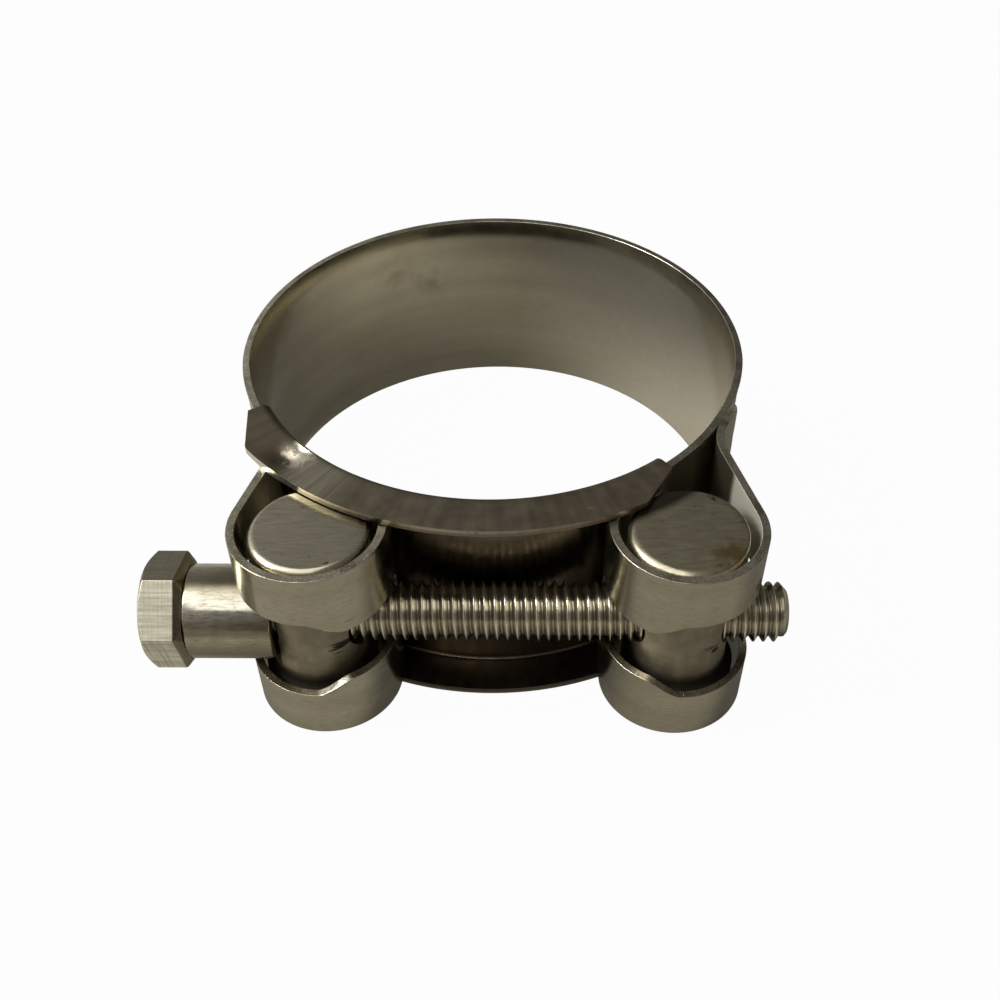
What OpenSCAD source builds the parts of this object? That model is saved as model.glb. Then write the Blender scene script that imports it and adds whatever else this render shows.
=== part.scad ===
// Heavy-duty band clamp that one bolt closes through two trunnions.
// The ring's axis is Z through the origin, at half the band's width.
// The bolt runs along X in front of the ring, on the -Y side, with its head at -X.

/* [Band] */
// Radius of the round opening, measured to the bridge plate
clamp_radius = 25; // [23:0.5:32]
// Width of the band strip
band_width = 22; // [20:0.5:30]
// Thickness of the band strip
band_thickness = 0.8; // [0.6:0.05:1]
// Length of each end of the strip that lies welded on the ring
tail_length = 7; // [6:0.5:10]
// Width that is left of the strip where a welded end stops
tail_end_width = 16; // [15:0.5:20]
// Radius of the bend from the ring out to a loop
root_bend_radius = 2; // [1.5:0.1:2.5]
// Radius of the bend from a loop back onto the ring
return_bend_radius = 6; // [4:0.5:8]
// Angle that each loop turns past its widest point
loop_overturn = 15; // [10:1:20]
// Distance of the left loop from the ring's axis, along X
left_loop_x = 16.6; // [16:0.1:20]
// Distance of the right loop from the ring's axis, along X
right_loop_x = 18.7; // [16:0.1:20]
// Length of the outer leg that stays open past the sleeve
slot_reach = 2.1; // [0:0.1:3]
// Length over which a slot widens from the bolt's room to the sleeve's
slot_slant_length = 3.2; // [2:0.2:5]
// Diameter of a spot weld's mark
weld_diameter = 3.2; // [2:0.1:4]
// Depth of a spot weld's mark
weld_depth = 0.15; // [0.1:0.05:0.3]
// Distance between the two spot welds of one end
weld_spacing = 11; // [8:0.5:14]

/* [Bridge] */
// Thickness of the bridge plate and its lips
bridge_thickness = 0.7; // [0.5:0.05:1]
// Width of a lip, from the plate's inner face
lip_width = 4.9; // [3.5:0.1:5.5]
// Width that is left of a lip at its two ends
lip_end_width = 2.4; // [2:0.1:3]
// Inside radius of the fold between plate and lip
fold_radius = 0.35; // [0.2:0.05:0.35]
// Angle from the front to the left end of the lips
lip_left = 63; // [50:0.5:66]
// Angle from the front to the right end of the lips
lip_right = 40; // [40:0.5:60]
// Angle over which the lips taper at each end
lip_taper_angle = 10; // [6:1:20]
// Length of the plate past each end of the lips
tongue_length = 3.4; // [3:0.1:5]
// Height of the plate past the ends of the lips
tongue_height = 18; // [14:0.5:19]
// Radius of the corners of the plate's ends
tongue_corner = 3; // [1:0.5:3]

/* [Trunnions] */
// Diameter of a trunnion's heads
head_diameter = 11.3; // [10.5:0.1:12]
// Diameter of a trunnion's waist
waist_diameter = 9.6; // [9:0.1:10]
// Radius of the hollow corners between a trunnion's waist and its heads
groove_corner = 2; // [1.6:0.1:3]
// Radius of the rounded rim of a head
rim_radius = 0.9; // [0.4:0.1:1.2]
// Distance from the plain trunnion's axis to the flat that faces the sleeve
seat_flat = 3.5; // [3.5:0.05:4]
// Angle from the front at which the left trunnion lies in its loop, positive towards the gap
left_lean = -28; // [-30:1:25]
// Angle from the front at which the right trunnion lies in its loop, positive towards the gap
right_lean = 10; // [-30:1:25]

/* [Bolt and sleeve] */
// Thread diameter of the bolt
bolt_diameter = 6; // [5:0.5:7]
// Length of the bolt under its head
bolt_length = 58; // [56:1:80]
// Length of the taper at the bolt's tip
tip_chamfer = 0.7; // [0.4:0.1:1]
// Width of the hexagon head across its flats
hex_flats = 10; // [9:0.5:12]
// Height of the hexagon head
hex_height = 4.1; // [3.6:0.1:5]
// Diameter of the round faces that end the head's chamfers
hex_face = 9.6; // [9.4:0.1:10]
// Turn of the head about its axis
hex_turn = 14; // [0:1:60]
// Outside diameter of the spacer sleeve
sleeve_diameter = 9.3; // [8.6:0.1:10]
// Bore of the spacer sleeve
sleeve_bore = 6.6; // [6.4:0.1:7]
// Length of the spacer sleeve
sleeve_length = 8.3; // [6:0.1:14]
// Bevel on the sleeve's outer edges
sleeve_bevel = 0.2; // [0.1:0.05:0.4]

/* [Clearances] */
// Gap between the band and the bridge that holds it
sheet_gap = 0.15; // [0.15:0.05:0.3]
// Gap between the bolt and the bridge plate
bolt_gap = 0.15; // [0.15:0.05:1]
// Room between a trunnion's head and its loop, all the way round
loop_play = 0.95; // [0.6:0.05:1.4]
// Room between the sleeve and the slots' edges
slot_room = 0.5; // [0.4:0.05:0.8]
// Room between the bolt and the slots' edges
bolt_room = 0.5; // [0.3:0.05:0.6]
// Height that a trunnion's faces stay below the band's edges
head_inset = 0; // [0:0.05:0.5]
// Radial play of the bolt in the plain trunnion
bolt_play = 0.4; // [0.35:0.05:0.6]
// Radial play of the bolt in the tapped trunnion
thread_play = 0.05; // [0.03:0.01:0.1]
// Gap between a trunnion and the loop that it bears on
seat_gap = 0.25; // [0.15:0.05:0.4]
// Gap between the sleeve and the bolt's head
sleeve_gap = 0.05; // [0.03:0.01:0.1]
// Gap between the sleeve and the flat, which leaves the trunnion room to swivel
swivel_gap = 0.2; // [0.2:0.05:0.4]

/* [Hidden] */
$fa = 3;
$fs = 0.25;
front = -90;
// The bent lengths of strip stand this much proud of the straight ones that run into them.
seam_step = 0.01;
seam_lap = 0.1;
weld_sink = 0.2;
cut_past = 1;
// Angle between the seam of the turned faces and a corner of the hexagon.
seam_turn = 44;

bridge_outer = clamp_radius + bridge_thickness;
ring_inner = bridge_outer + sheet_gap;
ring_outer = ring_inner + band_thickness;
ring_middle = (ring_inner + ring_outer) / 2;
tail_middle = ring_outer + band_thickness / 2;
lip_outer = clamp_radius + lip_width;
lip_under = band_width / 2 + sheet_gap;
lip_top = lip_under + bridge_thickness;

head_radius = head_diameter / 2;
trunnion_height = band_width - 2 * head_inset;
loop_inner = head_radius + loop_play;
loop_middle = loop_inner + band_thickness / 2;
loop_outer = loop_inner + band_thickness;
seat_offset = loop_play - seat_gap;
bolt_y = -(bridge_outer + bolt_gap + bolt_diameter / 2);
loop_y = bolt_y + seat_offset * cos(right_lean);
left_trunnion_x = -left_loop_x + seat_offset * sin(left_lean);
right_trunnion_x = right_loop_x - seat_offset * sin(right_lean);

slot_height = sleeve_diameter + 2 * slot_room;
bolt_slot_height = bolt_diameter + 2 * bolt_room;
slot_front_y = loop_y - loop_outer - cut_past;
sleeve_end_x = left_trunnion_x - seat_flat - swivel_gap;
sleeve_start_x = sleeve_end_x - sleeve_length;
head_x = sleeve_start_x - sleeve_gap;

steel = [0.66, 0.64, 0.58];
dark_steel = [0.45, 0.42, 0.37];
bright_steel = [0.74, 0.72, 0.67];

function polar(radius, angle) = radius * [cos(angle), sin(angle)];
function arc_angle(length, radius) = length / radius * 180 / PI;

// The bends of a loop, worked out on the right-hand side of the ring.
function leg_x(loop_x) = loop_x - loop_middle;
function root_angle(loop_x) =
    acos((leg_x(loop_x) + root_bend_radius) / (ring_middle + root_bend_radius));
function root_centre(loop_x) = polar(ring_middle + root_bend_radius, -root_angle(loop_x));
function return_heading() = polar(1, 90 + loop_overturn);
function return_base(loop_x) =
    [loop_x, loop_y] + polar(loop_middle + return_bend_radius, loop_overturn);
function return_run(loop_x) =
    let (base = return_base(loop_x),
         along = base * return_heading(),
         far = tail_middle + return_bend_radius)
    -along - sqrt(along * along - base * base + far * far);
function return_centre(loop_x) =
    return_base(loop_x) + return_run(loop_x) * return_heading();

// Fan of straight edges about the origin, from one angle to another.
module wedge(from, to, reach) {
    steps = ceil((to - from) / 30);
    polygon(concat([[0, 0]], [for (i = [0 : steps]) polar(reach, from + (to - from) * i / steps)]));
}

// Edge view of strip bent round a centre, between two angles.
module strip_arc(centre, radius, from, to, thickness) {
    translate(centre)
        intersection() {
            difference() {
                circle(radius + thickness / 2);
                circle(radius - thickness / 2);
            }
            wedge(from, to, 2 * (radius + thickness));
        }
}

// Edge view of a bend, a trace thicker so that its neighbours end inside it.
module strip_bend(centre, radius, from, to) {
    strip_arc(centre, radius, from, to, band_thickness + 2 * seam_step);
}

// Edge view of a straight length of strip, lapped into the bends at its ends.
module strip_straight(start, heading, length) {
    translate(start)
        rotate(heading)
            translate([-seam_lap, -band_thickness / 2])
                square([length + 2 * seam_lap, band_thickness]);
}

// Window along X through a loop, round towards the ring and open at the front.
module slot(from_x, to_x, height, round_y) {
    translate([from_x, 0, 0])
        rotate([90, 0, 90])
            linear_extrude(to_x - from_x) {
                translate([round_y, 0])
                    circle(d = height);
                translate([slot_front_y, -height / 2])
                    square([round_y - slot_front_y, height]);
            }
}

// Slanted edges across the loop's front, between the slot's two heights.
module slot_slant(loop_x) {
    narrow = bolt_slot_height / 2;
    wide = slot_height / 2;
    translate([0, bolt_y, 0])
        rotate([90, 0, 0])
            linear_extrude(bolt_y - slot_front_y)
                polygon([
                    [loop_x - slot_slant_length, -narrow],
                    [loop_x, -wide],
                    [loop_x + cut_past, -narrow],
                    [loop_x + cut_past, narrow],
                    [loop_x, wide],
                    [loop_x - slot_slant_length, narrow]
                ]);
}

function tail_start(loop_x) = atan2(return_centre(loop_x).y, return_centre(loop_x).x);
function tail_sweep() = arc_angle(tail_length, tail_middle);

// Edge view of one end of the strip: root bend, leg, loop and outer leg.
module loop_outline(loop_x) {
    root = root_centre(loop_x);
    tail = tail_start(loop_x);
    strip_bend(root, root_bend_radius, 180 - root_angle(loop_x), 180);
    strip_straight([leg_x(loop_x), root.y], front, root.y - loop_y);
    strip_bend([loop_x, loop_y], loop_middle, 180, 360 + loop_overturn);
    strip_straight([loop_x, loop_y] + polar(loop_middle, loop_overturn),
                   90 + loop_overturn, return_run(loop_x));
    strip_bend(return_centre(loop_x), return_bend_radius, 180 + tail, 180 + loop_overturn);
}

// Outline of a welded end, flat; x runs along the ring from the middle of that end.
module tail_outline() {
    slope = (band_width - tail_end_width) / 2 / tail_length;
    near = band_width / 2 + slope * cut_past;
    far = tail_end_width / 2 - slope * cut_past;
    reach = tail_length / 2 + cut_past;
    polygon([[-reach, -near], [reach, -far], [reach, far], [-reach, near]]);
}

// Welded end of the strip on the ring, narrower towards where it stops.
module tail(loop_x) {
    start = tail_start(loop_x);
    intersection() {
        linear_extrude(band_width, center = true)
            strip_arc([0, 0], tail_middle - weld_sink / 2,
                      start - arc_angle(seam_lap, tail_middle), start + tail_sweep(),
                      band_thickness + weld_sink);
        rotate(start + tail_sweep() / 2)
            rotate([90, 0, 90])
                linear_extrude(2 * tail_middle)
                    tail_outline();
    }
}

// What is punched and pressed out of one end of the strip: slots and spot-weld marks.
module loop_cuts(loop_x) {
    slot(leg_x(loop_x) - band_thickness, loop_x, bolt_slot_height, bolt_y);
    slot(loop_x, loop_x + loop_outer + cut_past, slot_height, bolt_y + slot_reach);
    slot_slant(loop_x);
    for (side = [-1, 1])
        rotate(tail_start(loop_x) + tail_sweep() / 2)
            translate([ring_outer + band_thickness - weld_depth, 0, side * weld_spacing / 2])
                rotate([0, 90, 0])
                    cylinder(d = weld_diameter, h = cut_past);
}

// One strip: the open ring with a trunnion loop at each end.
module band() {
    lap = arc_angle(seam_lap, ring_middle);
    color(steel)
        difference() {
            union() {
                linear_extrude(band_width, center = true) {
                    strip_arc([0, 0], ring_middle, -root_angle(right_loop_x) - lap,
                              180 + root_angle(left_loop_x) + lap, band_thickness);
                    loop_outline(right_loop_x);
                    mirror([1, 0])
                        loop_outline(left_loop_x);
                }
                tail(right_loop_x);
                mirror([1, 0, 0])
                    tail(left_loop_x);
            }
            loop_cuts(right_loop_x);
            mirror([1, 0, 0])
                loop_cuts(left_loop_x);
        }
}

// Half of the bridge's section: plate, round fold and lip.
module bridge_section() {
    fold_outer = fold_radius + bridge_thickness;
    fold_r = clamp_radius + fold_outer;
    fold_z = lip_top - fold_outer;
    translate([clamp_radius, 0])
        square([bridge_thickness, fold_z]);
    translate([fold_r, lip_under])
        square([lip_outer - fold_r, bridge_thickness]);
    intersection() {
        translate([fold_r, fold_z])
            difference() {
                circle(fold_outer);
                circle(fold_radius);
            }
        translate([clamp_radius, fold_z])
            square(fold_outer);
    }
}

// Corner to be cut off both lips at one end; side is -1 at the left and 1 at the right.
module lip_taper(side, end) {
    inner = polar(clamp_radius + lip_end_width, front + side * end);
    outer = polar(lip_outer, front + side * (end - lip_taper_angle));
    past_inner = inner + 0.5 * (inner - outer);
    past_outer = outer + 0.2 * (outer - inner);
    away = polar(lip_width, front + side * end);
    translate([0, 0, -lip_top - cut_past])
        linear_extrude(2 * (lip_top + cut_past))
            polygon([past_inner, past_outer, past_outer + away, past_inner + away]);
}

// Outline of a plate end with round corners, flat; x runs along the arc from the lips' end.
module tongue_outline() {
    round_x = tongue_length - tongue_corner;
    round_z = tongue_height / 2 - tongue_corner;
    translate([-cut_past, -tongue_height / 2])
        square([cut_past + round_x, tongue_height]);
    translate([-cut_past, -round_z])
        square([cut_past + tongue_length, 2 * round_z]);
    for (z = [-round_z, round_z])
        translate([round_x, z])
            circle(tongue_corner);
}

// What is cut away round the plate's end; side is -1 at the left and 1 at the right.
module end_cut(side, end) {
    height = 2 * (lip_top + cut_past);
    rotate(front + side * end)
        rotate([90, 0, 90])
            linear_extrude(lip_outer + cut_past)
                scale([side, 1])
                    difference() {
                        translate([0, -height / 2])
                            square([2 * tongue_length, height]);
                        tongue_outline();
                    }
}

// Plate across the gap inside the band, with lips folded out over both edges.
module bridge() {
    spare = arc_angle(tongue_length + cut_past, clamp_radius);
    color(dark_steel)
        difference() {
            rotate(front - lip_left - spare)
                rotate_extrude(angle = lip_left + lip_right + 2 * spare) {
                    bridge_section();
                    mirror([0, 1])
                        bridge_section();
                }
            lip_taper(-1, lip_left);
            lip_taper(1, lip_right);
            end_cut(-1, lip_left);
            end_cut(1, lip_right);
        }
}

// Turned barrel with two round heads and a waist that the sleeve's end fits between, drilled for the bolt.
module trunnion(bore_radius) {
    half = trunnion_height / 2;
    difference() {
        rotate_extrude()
            difference() {
                translate([0, -half])
                    square([head_radius, trunnion_height]);
                translate([waist_diameter / 2, -sleeve_diameter / 2])
                    square([head_radius, sleeve_diameter]);
                for (side = [-1, 1])
                    translate([waist_diameter / 2 + groove_corner, side * sleeve_diameter / 2])
                        circle(groove_corner);
                for (side = [-1, 1])
                    scale([1, side])
                        difference() {
                            translate([head_radius - rim_radius, half - rim_radius])
                                square(rim_radius + cut_past);
                            translate([head_radius - rim_radius, half - rim_radius])
                                circle(rim_radius);
                        }
            }
        rotate([0, 90, 0])
            cylinder(r = bore_radius, h = 2 * (head_radius + cut_past), center = true);
    }
}

// Trunnion that the bolt slides through, with a flat for the sleeve to bear on.
module plain_trunnion() {
    side = head_radius + cut_past;
    flat_height = sleeve_diameter + 2 * sleeve_gap;
    color(bright_steel)
        translate([left_trunnion_x, bolt_y, 0])
            difference() {
                trunnion(bolt_diameter / 2 + bolt_play);
                translate([-side - seat_flat, -side, -flat_height / 2])
                    cube([side, 2 * side, flat_height]);
            }
}

// Trunnion that is tapped for the bolt.
module nut_trunnion() {
    color(bright_steel)
        translate([right_trunnion_x, bolt_y, 0])
            trunnion(bolt_diameter / 2 + thread_play);
}

// Tube that holds the bolt's head clear of the loop.
module spacer_sleeve() {
    outer = sleeve_diameter / 2;
    inner = sleeve_bore / 2;
    color(bright_steel)
        translate([sleeve_start_x, bolt_y, 0])
            rotate([0, 90, 0])
                rotate_extrude()
                    polygon([
                        [inner, 0],
                        [outer - sleeve_bevel, 0],
                        [outer, sleeve_bevel],
                        [outer, sleeve_length - sleeve_bevel],
                        [outer - sleeve_bevel, sleeve_length],
                        [inner, sleeve_length]
                    ]);
}

// Hexagon-head bolt; the head is chamfered on both faces.
module bolt() {
    shank = bolt_diameter / 2;
    corner = hex_flats / sqrt(3);
    face = hex_face / 2;
    bevel = (corner - face) * tan(30);
    color(steel)
        translate([head_x, bolt_y, 0])
            rotate([0, 90, 0])
                rotate(hex_turn - seam_turn) {
                    cylinder(r = shank, h = bolt_length - tip_chamfer);
                    translate([0, 0, bolt_length - tip_chamfer])
                        cylinder(r1 = shank, r2 = shank - tip_chamfer, h = tip_chamfer);
                    translate([0, 0, -hex_height])
                        intersection() {
                            rotate(seam_turn)
                                cylinder(r = corner, h = hex_height, $fn = 6);
                            rotate_extrude()
                                polygon([
                                    [0, 0],
                                    [face, 0],
                                    [corner, bevel],
                                    [corner, hex_height - bevel],
                                    [face, hex_height],
                                    [0, hex_height]
                                ]);
                        }
                }
}

band();
bridge();
plain_trunnion();
nut_trunnion();
spacer_sleeve();
bolt();
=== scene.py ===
"""Looks of a heavy-duty band clamp: bent strip, bridge plate, two trunnions, sleeve and hex bolt."""

import math

import bmesh
import bpy
from mathutils import Matrix, Vector


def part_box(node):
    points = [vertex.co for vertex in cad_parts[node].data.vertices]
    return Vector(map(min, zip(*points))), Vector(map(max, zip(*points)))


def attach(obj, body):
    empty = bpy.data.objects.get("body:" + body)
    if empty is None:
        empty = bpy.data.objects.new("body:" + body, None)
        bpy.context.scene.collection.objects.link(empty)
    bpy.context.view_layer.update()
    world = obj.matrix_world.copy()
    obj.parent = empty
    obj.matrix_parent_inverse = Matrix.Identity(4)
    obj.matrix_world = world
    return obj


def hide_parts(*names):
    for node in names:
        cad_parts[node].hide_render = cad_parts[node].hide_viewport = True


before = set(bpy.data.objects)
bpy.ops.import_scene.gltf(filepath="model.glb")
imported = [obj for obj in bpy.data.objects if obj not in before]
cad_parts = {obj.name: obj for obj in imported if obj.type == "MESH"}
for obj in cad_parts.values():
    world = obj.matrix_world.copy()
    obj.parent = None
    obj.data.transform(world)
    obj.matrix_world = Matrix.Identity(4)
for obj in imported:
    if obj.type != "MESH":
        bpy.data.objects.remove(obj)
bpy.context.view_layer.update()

# Sizes in millimetres, as in the part's source.
MM = 0.001
CLAMP_RADIUS = 25.0
PLATE_THICKNESS = 0.7
SHEET_GAP = 0.15
STRIP_WIDTH = 22.0
STRIP_THICKNESS = 0.8
TAIL_LENGTH = 7.0
TAIL_END_HALF = 8.0
TAIL_SINK = 0.66
ROOT_BEND = 2.0
RETURN_BEND = 6.0
LOOP_OVERTURN = 15.0
LEFT_LOOP_X = 16.6
RIGHT_LOOP_X = 18.7
HEAD_RADIUS = 5.65
RIM_RADIUS = 0.9
LOOP_PLAY = 0.95
SEAT_GAP = 0.25
RIGHT_LEAN = 10.0
BOLT_DIAMETER = 6.0
BOLT_GAP = 0.15
SLEEVE_RADIUS = 4.65
SLEEVE_BORE = 3.3
SLOT_HALF = 5.15
BOLT_SLOT_HALF = 3.5
SLOT_SLANT = 3.2
SLOT_REACH = 2.1
HEX_FLATS = 10.0
HEX_HEIGHT = 4.1
HEX_FACE = 4.8
HEX_TURN = 14.0
LIP_WIDTH = 4.9
LIP_END_WIDTH = 2.4
LIP_LEFT = 63.0
LIP_RIGHT = 40.0
LIP_TAPER = 10.0
FOLD_RADIUS = 0.35
TONGUE_LENGTH = 3.4
TONGUE_HALF = 9.0
TONGUE_CORNER = 3.0
WELD_RADIUS = 1.6
WELD_DEPTH = 0.15
WELD_OFFSET = 5.5
THREAD_PITCH = 1.0
THREAD_ROOT = 2.42
THREAD_CREST = 2.97
TIP_CHAMFER = 0.7

PLATE_OUTER = CLAMP_RADIUS + PLATE_THICKNESS
RING_MIDDLE = PLATE_OUTER + SHEET_GAP + STRIP_THICKNESS / 2
TAIL_MIDDLE = RING_MIDDLE + STRIP_THICKNESS
LOOP_MIDDLE = HEAD_RADIUS + LOOP_PLAY + STRIP_THICKNESS / 2
BOLT_Y = -(PLATE_OUTER + BOLT_GAP + BOLT_DIAMETER / 2)
LOOP_Y = BOLT_Y + (LOOP_PLAY - SEAT_GAP) * math.cos(math.radians(RIGHT_LEAN))
FLOOR_Z = -(STRIP_WIDTH / 2 + SHEET_GAP + PLATE_THICKNESS)


def polar(radius, degrees):
    angle = math.radians(degrees)
    return Vector((radius * math.cos(angle), radius * math.sin(angle)))


# Camera: the photograph's own view, with its principal point a little off the middle.
CAMERA_PLACE = Vector((3.416, -106.113, 86.168))
CAMERA_ELEVATION = 46.335
CAMERA_AZIMUTH = 0.315
CAMERA_FOCAL = 1.176638
CAMERA_CENTRE = (0.51917, 0.57382)
CAMERA_CLIP = (0.01, 20.0)
SENSOR = 36.0


def add_camera():
    data = bpy.data.cameras.new("photo_camera")
    camera = bpy.data.objects.new("photo_camera", data)
    bpy.context.scene.collection.objects.link(camera)
    high = math.radians(CAMERA_ELEVATION)
    turn = math.radians(CAMERA_AZIMUTH)
    back = Vector((math.sin(turn) * math.cos(high), -math.cos(turn) * math.cos(high), math.sin(high)))
    right = Vector((math.cos(turn), math.sin(turn), 0.0))
    up = back.cross(right)
    facing = Matrix((right, up, back)).transposed().to_4x4()
    camera.matrix_world = Matrix.Translation(CAMERA_PLACE * MM) @ facing
    data.sensor_width = SENSOR
    data.lens = CAMERA_FOCAL * SENSOR
    data.shift_x = 0.5 - CAMERA_CENTRE[0]
    data.shift_y = CAMERA_CENTRE[1] - 0.5
    data.clip_start, data.clip_end = CAMERA_CLIP
    bpy.context.scene.camera = camera


# Node helpers. Each finds its node tree from the sockets that it is given.

FLOAT = "NodeSocketFloat"
VECTOR = "NodeSocketVector"
MICRON = 0.000001


def tree_of(*values):
    return next(value.id_data for value in values if isinstance(value, bpy.types.NodeSocket))


def set_input(socket, value):
    """Links a socket to another one, or gives it a plain value."""
    if isinstance(value, bpy.types.NodeSocket):
        socket.id_data.links.new(value, socket)
    else:
        socket.default_value = value


def add_node(tree, kind, values=None, **settings):
    node = tree.nodes.new(kind)
    for key, value in settings.items():
        setattr(node, key, value)
    for key, value in (values or {}).items():
        set_input(node.inputs[key], value)
    return node


def maths(operation, first, second=0.0, clamp=False):
    tree = tree_of(first, second)
    node = add_node(tree, "ShaderNodeMath", {0: first, 1: second}, operation=operation, use_clamp=clamp)
    return node.outputs[0]


def times(first, second):
    return maths("MULTIPLY", first, second)


def plus(first, second):
    return maths("ADD", first, second)


def minus(first, second):
    return maths("SUBTRACT", first, second)


def distance_from(value, place):
    return maths("ABSOLUTE", minus(value, place * MM))


def vector_maths(operation, first, second=(0.0, 0.0, 0.0), output="Vector"):
    tree = tree_of(first, second)
    node = add_node(tree, "ShaderNodeVectorMath", {0: first, 1: second}, operation=operation)
    return node.outputs[output]


def remap(value, low, high, out_low=0.0, out_high=1.0):
    values = {"Value": value, "From Min": low, "From Max": high, "To Min": out_low, "To Max": out_high}
    return add_node(value.id_data, "ShaderNodeMapRange", values).outputs["Result"]


def zone(value, span, out_low=0.0, out_high=1.0):
    """A mask that changes over a span of places in millimetres."""
    return remap(value, span[0] * MM, span[1] * MM, out_low, out_high)


def blend_colour(share, first, second):
    tree = tree_of(share, first, second)
    return add_node(tree, "ShaderNodeMix", {0: share, 6: first, 7: second}, data_type="RGBA").outputs[2]


def noise(place, scale, detail, roughness):
    values = {"Vector": place, "Scale": scale, "Detail": detail, "Roughness": roughness}
    return add_node(place.id_data, "ShaderNodeTexNoise", values).outputs["Fac"]


def split(vector):
    return add_node(vector.id_data, "ShaderNodeSeparateXYZ", {0: vector}).outputs


def join(x, y, z):
    return add_node(tree_of(x, y, z), "ShaderNodeCombineXYZ", {0: x, 1: y, 2: z}).outputs[0]


def colour(red, green, blue):
    return (red, green, blue, 1.0)


def in_metres(place):
    return tuple(c * MM for c in place)


def around_place(place, centre=(0.0, 0.0, 0.0)):
    """Angle, radius and height about an upright axis through a centre in millimetres."""
    x, y, z = split(vector_maths("SUBTRACT", place, in_metres(centre)))
    radius = vector_maths("LENGTH", join(x, y, 0.0), output="Value")
    return maths("ARCTAN2", y, x), radius, z


def nick(place, centre, reach):
    """1 at the middle of one scratch or dent, falling to 0 at its reach along X, Y and Z, in millimetres."""
    moved = vector_maths("SUBTRACT", place, in_metres(centre))
    scaled = vector_maths("DIVIDE", moved, in_metres(reach))
    return maths("SUBTRACT", 1.0, vector_maths("LENGTH", scaled, output="Value"), clamp=True)


# Effects that several finishes share.


def new_group(name, inputs, outputs):
    tree = bpy.data.node_groups.new(name, "ShaderNodeTree")
    for label, kind, value in inputs:
        socket = tree.interface.new_socket(label, in_out="INPUT", socket_type=kind)
        socket.default_value = value
    for label in outputs:
        tree.interface.new_socket(label, in_out="OUTPUT", socket_type=FLOAT)
    start = tree.nodes.new("NodeGroupInput").outputs
    end = tree.nodes.new("NodeGroupOutput").inputs
    return tree, start, end


def make_grain_group():
    """Fine drawn lines: noise stretched by the Stretch vector, with a broader waviness on top."""
    inputs = [("Place", VECTOR, (0, 0, 0)), ("Stretch", VECTOR, (1, 1, 1)), ("Broad", FLOAT, 0.35)]
    tree, start, end = new_group("drawn_grain", inputs, ["Lines", "Bands"])
    place = vector_maths("MULTIPLY", start["Place"], start["Stretch"])
    wide = add_node(tree, "ShaderNodeVectorMath", {0: place, 3: start["Broad"]}, operation="SCALE")
    set_input(end["Lines"], noise(place, 1.0, 4.0, 0.65))
    set_input(end["Bands"], noise(wide.outputs[0], 1.0, 2.0, 0.5))
    return tree


def make_stain_group():
    """Soft handling marks: a cloudy mask, stronger within Reach of Centre."""
    inputs = [("Place", VECTOR, (0, 0, 0)), ("Scale", FLOAT, 300.0)]
    inputs += [("Centre", VECTOR, (0, 0, 0)), ("Reach", FLOAT, 0.004)]
    tree, start, end = new_group("handling_stain", inputs, ["Cloud", "Spot"])
    cloud = noise(start["Place"], start["Scale"], 3.0, 0.55)
    away = vector_maths("DISTANCE", start["Place"], start["Centre"], "Value")
    near = maths("SUBTRACT", 1.0, maths("DIVIDE", away, start["Reach"]), clamp=True)
    set_input(end["Cloud"], remap(cloud, 0.35, 0.7))
    set_input(end["Spot"], times(near, remap(cloud, 0.38, 0.62)))
    return tree


def make_pit_group():
    """Scattered small pits and nicks: 1 at the middle of a pit."""
    inputs = [("Place", VECTOR, (0, 0, 0)), ("Scale", FLOAT, 900.0), ("Size", FLOAT, 0.2)]
    tree, start, end = new_group("pits", inputs + [("Share", FLOAT, 0.3)], ["Pits"])
    values = {"Vector": start["Place"], "Scale": start["Scale"]}
    cells = add_node(tree, "ShaderNodeTexVoronoi", values).outputs
    depth = maths("SUBTRACT", 1.0, maths("DIVIDE", cells["Distance"], start["Size"]), clamp=True)
    chosen = add_node(tree, "ShaderNodeSeparateColor", {"Color": cells["Color"]}).outputs[0]
    set_input(end["Pits"], times(depth, maths("LESS_THAN", chosen, start["Share"])))
    return tree


GRAIN = make_grain_group()
STAIN = make_stain_group()
PITS = make_pit_group()


def use_group(group, place, **values):
    return add_node(place.id_data, "ShaderNodeGroup", {"Place": place, **values}, node_tree=group).outputs


def clouds(place, scale):
    return use_group(STAIN, place, Scale=scale)["Cloud"]


def stain(place, scale, centre, reach):
    """A cloudy mask with a stronger spot, whose centre and reach are in millimetres."""
    return use_group(STAIN, place, Scale=scale, Centre=in_metres(centre), Reach=reach * MM)


# Finishes.

STEEL = colour(0.57, 0.535, 0.41)
STEEL_DARK = colour(0.42, 0.385, 0.28)
STEEL_BRIGHT = colour(0.76, 0.73, 0.62)
CREAM = colour(0.97, 0.93, 0.78)
STEEL_BROWN = colour(0.2, 0.165, 0.115)
STEEL_STAINED = colour(0.33, 0.235, 0.09)
PLATE_DULL = colour(0.34, 0.29, 0.22)
PLATE_DARK = colour(0.235, 0.197, 0.15)
# Painted shadow colour for the bridge plate's face behind the bolt.
PLATE_FACE_SHADOW = colour(0.04, 0.033, 0.024)
NEAR_BLACK = colour(0.02, 0.017, 0.013)
# Painted shade colour for the hexagon's slopes towards the sleeve.
STEEL_SHADED_SLOPE = colour(0.15, 0.13, 0.075)


def start_material(name):
    material = bpy.data.materials.new(name)
    material.use_nodes = True
    tree = material.node_tree
    shader = tree.nodes["Principled BSDF"]
    shader.inputs["Metallic"].default_value = 1.0
    place = add_node(tree, "ShaderNodeTexCoord").outputs["Object"]
    return material, shader, place


def finish_material(shader, tone, roughness, height):
    """Links a finish to its shader; height is the relief in metres."""
    bump = add_node(shader.id_data, "ShaderNodeBump", {"Height": times(height, 1.0 / MM), "Distance": MM})
    set_input(shader.inputs["Base Color"], tone)
    set_input(shader.inputs["Roughness"], roughness)
    set_input(shader.inputs["Normal"], bump.outputs["Normal"])


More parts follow.
